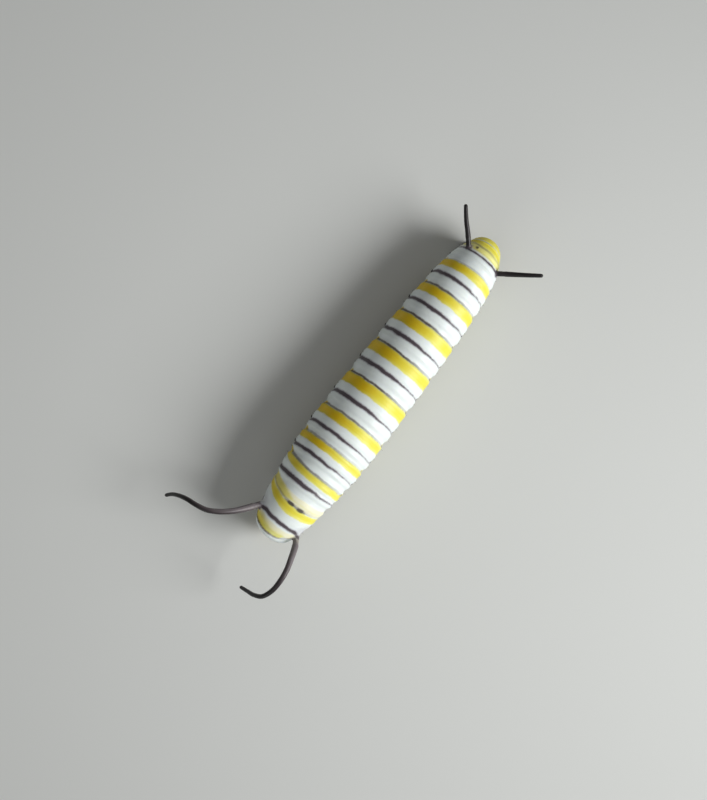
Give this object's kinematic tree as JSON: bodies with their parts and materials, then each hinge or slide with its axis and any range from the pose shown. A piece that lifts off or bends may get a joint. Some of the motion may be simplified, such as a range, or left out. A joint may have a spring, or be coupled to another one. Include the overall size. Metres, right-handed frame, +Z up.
{
  "type": "monarch larva",
  "caption": "Larva of the monarch butterfly at life size, banded in black, yellow and white, lying level with its head tucked under and its dark soft filaments held out.",
  "frame": {"origin": "on the floor, under the middle of the box that holds the whole animal with its filaments", "axes": "+Y runs along the body from the head to the tail, +Z is up, and +X is the animal's left"},
  "size_m": [0.0154, 0.041, 0.0074],
  "materials": {
    "skin": "soft, slightly moist skin with a low sheen, in bands of white, yellow and black",
    "filament": "satin black skin, greyer at the root",
    "head_capsule": "hard smooth shell, striped black and pale yellow",
    "antenna": "dark jointed stub with a pale base",
    "leg": "hard glossy black shell",
    "proleg": "soft skin under a smooth black plate, with a paler sole"
  },
  "bodies": {
    "root": {"prothorax": "skin", "mesothorax": "skin", "metathorax": "skin", "abdomen_1": "skin", "abdomen_2": "skin", "abdomen_3": "skin", "abdomen_4": "skin", "abdomen_5": "skin", "abdomen_6": "skin", "abdomen_7": "skin", "abdomen_8": "skin", "abdomen_9": "skin", "anal_segment": "skin", "head": "head_capsule", "antenna_right": "antenna", "antenna_left": "antenna", "leg_T1_right": "leg", "leg_T1_left": "leg", "leg_T2_right": "leg", "leg_T2_left": "leg", "leg_T3_right": "leg", "leg_T3_left": "leg", "proleg_A3_right": "proleg", "proleg_A4_right": "proleg", "proleg_A5_right": "proleg", "proleg_A6_right": "proleg", "proleg_anal_right": "proleg", "proleg_A3_left": "proleg", "proleg_A4_left": "proleg", "proleg_A5_left": "proleg", "proleg_A6_left": "proleg", "proleg_anal_left": "proleg", "filament_front_left_base": "filament", "filament_front_left_middle": "filament", "filament_front_left_tip": "filament", "filament_front_right_base": "filament", "filament_front_right_middle": "filament", "filament_front_right_tip": "filament", "filament_rear_left": "filament", "filament_rear_right": "filament"}
  },
  "joints": []
}
